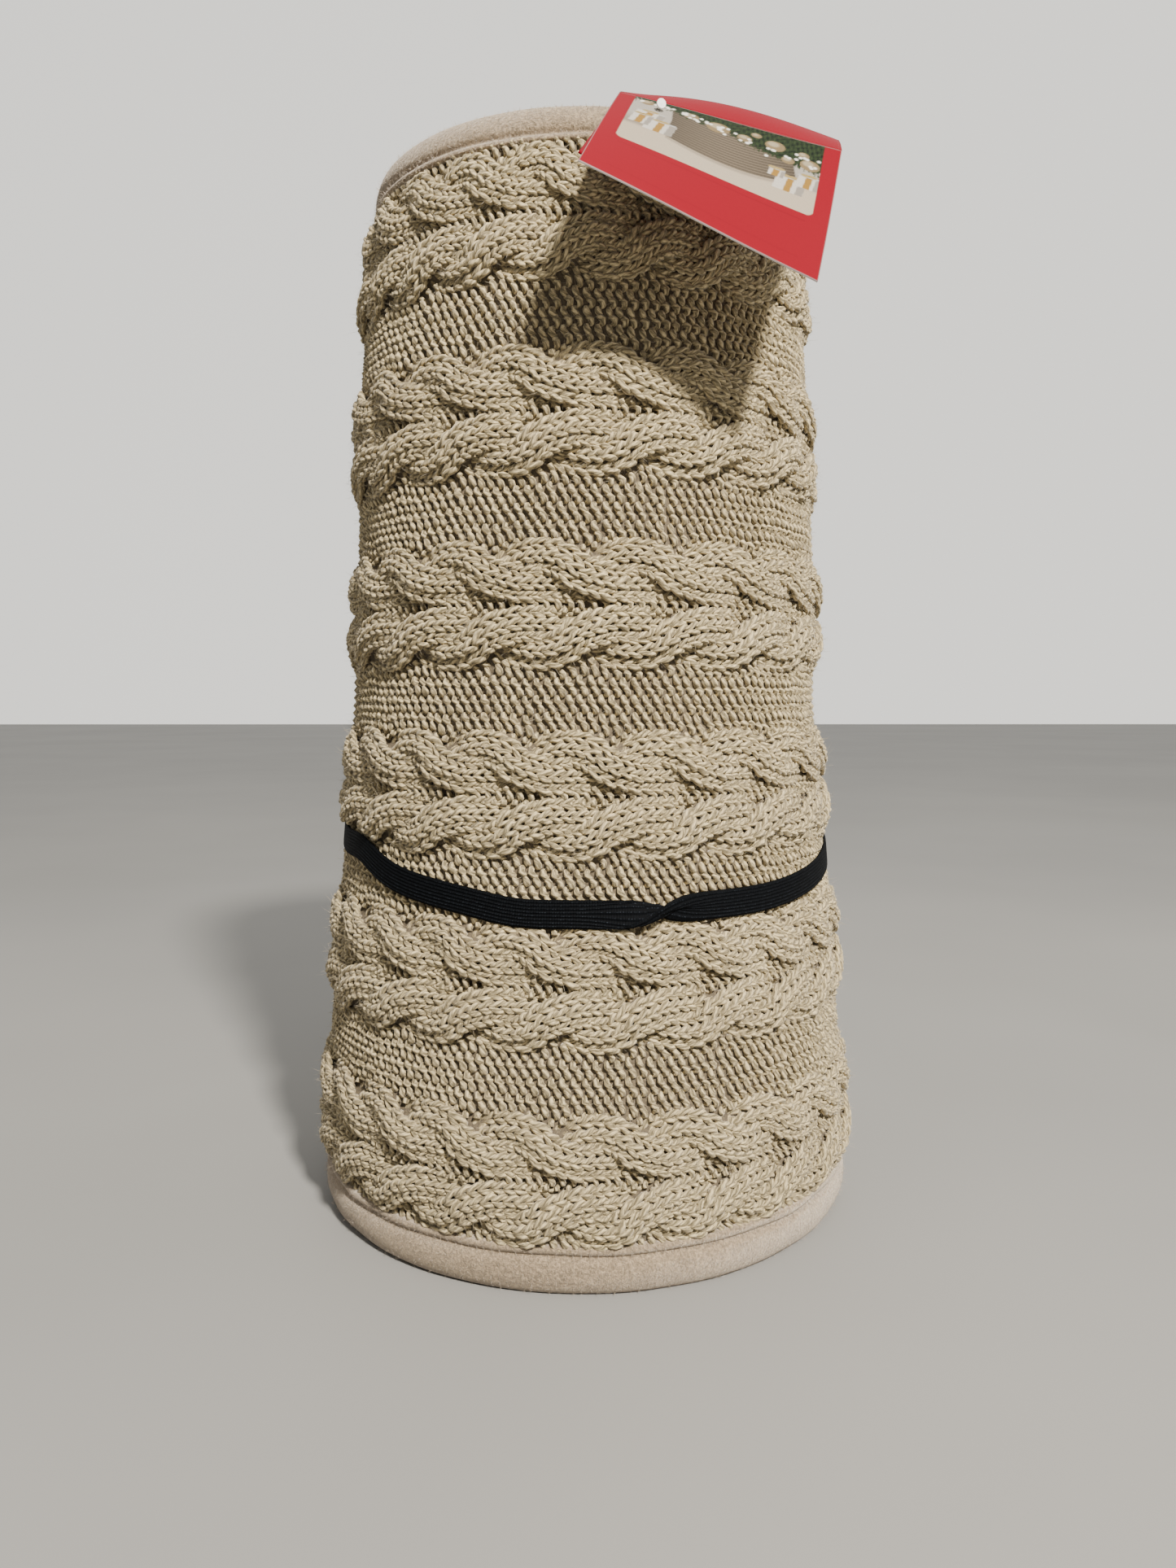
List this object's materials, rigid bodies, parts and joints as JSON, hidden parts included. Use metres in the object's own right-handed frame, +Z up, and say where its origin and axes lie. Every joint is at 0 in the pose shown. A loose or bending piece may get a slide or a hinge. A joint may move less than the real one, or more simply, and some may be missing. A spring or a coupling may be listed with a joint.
{
  "type": "tree collar",
  "caption": "Cable-knit fleece-lined tree collar, rolled up on its wide edge for storage, held by a flat elastic loop and carrying a folded card tag on a moulded pin.",
  "frame": {"origin": "on the axis of the roll, at the level of the surface it stands on", "axes": "+Z up along the axis of the roll, -Y towards the side that carries the tag, +X to that side's right; the outer free end of the strip is at +Y"},
  "size_m": [0.1436, 0.1633, 0.2765],
  "materials": {
    "knit": "fuzzy plied acrylic yarn, matte",
    "fleece": "short brushed pile, matte",
    "stiffener": "matte",
    "closure_tape": "woven tape",
    "label": "satin weave",
    "elastic": "ribbed flat braid, low sheen",
    "crimp": "plated",
    "card": "coated printed card",
    "pin": "translucent moulded nylon"
  },
  "bodies": {
    "roll": {"knit_panel": "knit", "stiffener_sheet": "stiffener", "fleece_lining": "fleece", "top_binding": "fleece", "bottom_binding": "fleece", "top_seam_lip": "fleece", "bottom_seam_lip": "fleece", "outer_end_binding": "fleece", "inner_end_binding": "fleece", "hook_tapes": "closure_tape", "loop_tapes": "closure_tape", "care_label": "label", "tag_pin": "pin"},
    "band": {"elastic_band": "elastic", "band_crimp": "crimp"},
    "tag": {"tag_spine": "card", "tag_back_panel": "card"},
    "tag_flap": {"tag_front_panel": "card"}
  },
  "joints": [
    {"name": "band_slide", "type": "slide", "parent": "roll", "child": "band", "axis": [0, 0, 1], "range_m": [0, 0.11]},
    {"name": "tag_swing", "type": "hinge", "parent": "roll", "child": "tag", "pos_m": [0.0174, -0.0608, 0.2625], "axis": [0.2756, -0.9613, 0], "range_deg": [-25, 8]},
    {"name": "flap_fold", "type": "hinge", "parent": "tag", "child": "tag_flap", "pos_m": [0.033, -0.0585, 0.2625], "axis": [0.9432, 0.066, -0.3256], "range_deg": [-75, 0]}
  ]
}
